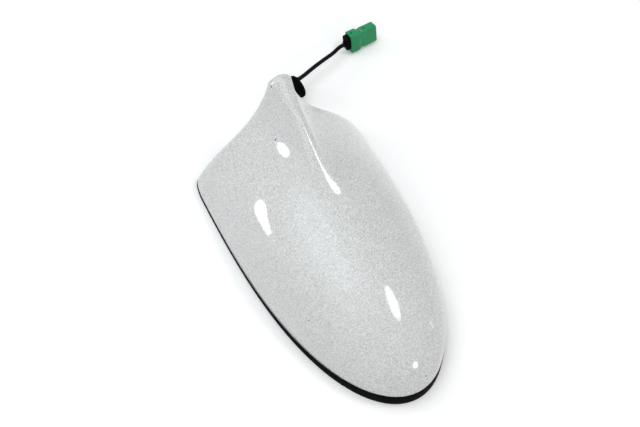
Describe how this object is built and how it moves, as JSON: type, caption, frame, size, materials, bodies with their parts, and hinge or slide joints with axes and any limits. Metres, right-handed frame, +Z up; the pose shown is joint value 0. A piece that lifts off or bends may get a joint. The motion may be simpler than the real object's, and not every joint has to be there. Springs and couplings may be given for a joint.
{
  "type": "shark fin aerial",
  "caption": "Shark fin car roof aerial: glossy pearl white shell on a black rubber gasket, base plate with a threaded insert, amplifier and coil inside, short cable with a green connector.",
  "frame": {"origin": "axis of the fixing thread in the roof plane, at the middle of the gasket's length and width", "axes": "+X towards the nose, +Y to the side where the cable lies, +Z up from the roof"},
  "size_m": [0.2154, 0.1321, 0.0663],
  "materials": {
    "pearl_paint": "pearl white lacquer over a moulded shell, glossy with fine flake",
    "black_rubber": "satin black moulded rubber",
    "foam_tape": "matt closed-cell foam tape",
    "black_plastic": "fine-grained black moulding",
    "plated_steel": "bright zinc plate",
    "brass": "machined brass",
    "board_green": "green solder resist with copper tracks",
    "tinned_sheet": "tinned steel sheet",
    "chip_epoxy": "black moulding compound",
    "capacitor_can": "bright aluminium can",
    "ferrite": "dull dark ferrite",
    "natural_nylon": "natural nylon moulding",
    "copper_wire": "enamelled copper wire",
    "cable_jacket": "satin black cable jacket",
    "connector_green": "green moulded nylon",
    "lock_pale": "pale translucent nylon",
    "gold_contact": "gold-plated contact"
  },
  "bodies": {
    "root": {"housing": "pearl_paint", "rim_gasket": "black_rubber", "adhesive_pad": "foam_tape", "base_plate": "black_plastic", "base_screws": "plated_steel", "threaded_insert": "brass", "circuit_board": "board_green", "board_screws": "plated_steel", "shield_can": "tinned_sheet", "amplifier_chip": "chip_epoxy", "capacitors": "capacitor_can", "ferrite_ring": "ferrite", "element_holder": "natural_nylon", "wire_coil": "copper_wire", "top_plate": "tinned_sheet", "contact_clip": "gold_contact", "cable_gland": "black_rubber", "inner_lead": "cable_jacket", "cable": "cable_jacket", "roof_grommet": "black_rubber", "crimp_ferrule": "plated_steel", "connector_body": "connector_green", "connector_lock": "lock_pale", "connector_seal": "black_rubber", "contact_barrels": "gold_contact"}
  },
  "joints": []
}
